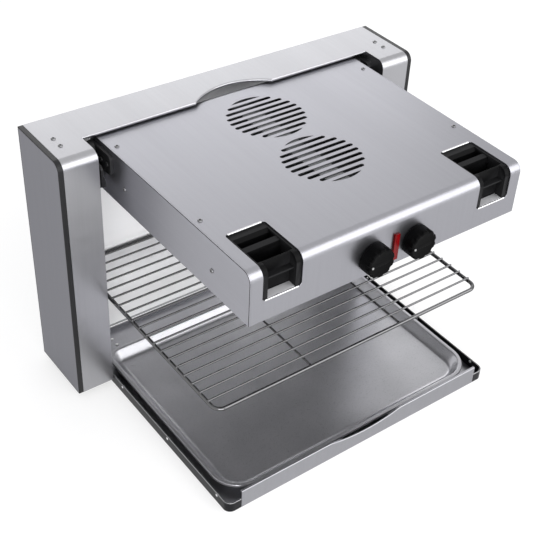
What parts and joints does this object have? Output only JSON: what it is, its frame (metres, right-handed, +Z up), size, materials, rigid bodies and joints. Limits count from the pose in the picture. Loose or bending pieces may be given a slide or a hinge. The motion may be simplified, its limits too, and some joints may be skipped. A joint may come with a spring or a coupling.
{
  "type": "wall-hung folding cheese melter",
  "caption": "Wall-hung folding grill for melting cheese: a slim heater head with handles and two knobs hinged to a frame, over a wire rack and a hinged tray with a drip pan.",
  "frame": {"origin": "centre of the back face of the wall frame, in the middle of the four wall screw holes", "axes": "+X to the right along the wall, +Y into the wall, +Z up; the head and the tray reach out along -Y"},
  "size_m": [0.48, 0.3537, 0.3293],
  "materials": {
    "shell_aluminium": "brushed, anodised, bright at the bends",
    "plate_aluminium": "fine brushed, darker grey",
    "black_plastic": "satin black with fine grain",
    "galvanised_steel": "galvanised, matt grey",
    "polished_aluminium": "polished, clear reflection",
    "control_plastic": "moulded ivory plastic",
    "steel_screw": "zinc-plated, satin",
    "black_steel": "black, semi-matt",
    "guide_steel": "plain steel, satin",
    "bush_plastic": "black nylon",
    "tray_steel": "dark grey, semi-gloss",
    "quartz": "milky quartz with white ceramic ends",
    "chrome_wire": "bright chrome-plated wire",
    "red_lens": "clear red, glossy",
    "white_print": "white",
    "pan_steel": "pressed sheet, satin"
  },
  "bodies": {
    "frame": {"frame_shell": "shell_aluminium", "left_end_frame": "black_plastic", "right_end_frame": "black_plastic", "left_side_plate": "plate_aluminium", "right_side_plate": "plate_aluminium", "back_plate": "galvanised_steel", "polished_liner": "polished_aluminium", "left_pillar_cap": "black_plastic", "right_pillar_cap": "black_plastic", "cable_gland": "black_plastic", "terminal_block": "control_plastic", "frame_screws": "steel_screw", "left_hinge_bracket": "black_steel", "right_hinge_bracket": "black_steel", "hinge_pins": "steel_screw", "hinge_washers": "black_steel", "left_rack_guide": "guide_steel", "right_rack_guide": "guide_steel", "tray_pivot_pins": "steel_screw", "tray_pivot_bushes": "bush_plastic"},
    "head": {"head_shell": "shell_aluminium", "head_left_side": "plate_aluminium", "head_right_side": "plate_aluminium", "left_hinge_arm": "black_steel", "right_hinge_arm": "black_steel", "left_handle_insert": "black_plastic", "right_handle_insert": "black_plastic", "vent_baffle": "galvanised_steel", "heat_shield": "black_steel", "heat_reflector": "polished_aluminium", "heater_frame": "black_steel", "heating_tubes": "quartz", "tube_holders": "galvanised_steel", "tube_guard": "chrome_wire", "timer_body": "control_plastic", "heat_switch_body": "control_plastic", "lamp_lens": "red_lens", "lamp_holder": "control_plastic", "head_screws": "steel_screw"},
    "timer_knob": {"timer_knob": "black_plastic", "timer_knob_dot": "white_print"},
    "heat_knob": {"heat_knob": "black_plastic", "heat_knob_dot": "white_print"},
    "rack": {"rack_frame": "chrome_wire", "rack_cross_wires": "chrome_wire", "rack_support_wires": "chrome_wire"},
    "tray": {"tray_cover": "shell_aluminium", "tray_rim": "tray_steel", "left_tray_arm": "tray_steel", "right_tray_arm": "tray_steel", "tray_screws": "steel_screw"},
    "drip_pan": {"drip_pan": "pan_steel"}
  },
  "joints": [
    {"name": "head_fold", "type": "hinge", "parent": "frame", "child": "head", "pos_m": [0, -0.052, 0.143], "axis": [1, 0, 0], "range_deg": [0, 28]},
    {"name": "timer_turn", "type": "hinge", "parent": "head", "child": "timer_knob", "pos_m": [-0.028, -0.337, 0.116], "axis": [0, 1, 0], "range_deg": [0, 300]},
    {"name": "heat_turn", "type": "hinge", "parent": "head", "child": "heat_knob", "pos_m": [0.028, -0.337, 0.116], "axis": [0, 1, 0], "range_deg": [0, 270]},
    {"name": "rack_slide", "type": "slide", "parent": "frame", "child": "rack", "axis": [0, -1, 0], "range_m": [0, 0.045]},
    {"name": "tray_fold", "type": "hinge", "parent": "frame", "child": "tray", "pos_m": [0, -0.048, -0.126], "axis": [-1, 0, 0], "range_deg": [0, 17]},
    {"name": "pan_lift", "type": "slide", "parent": "tray", "child": "drip_pan", "axis": [0, 0, 1], "range_m": [0, 0.025]}
  ]
}
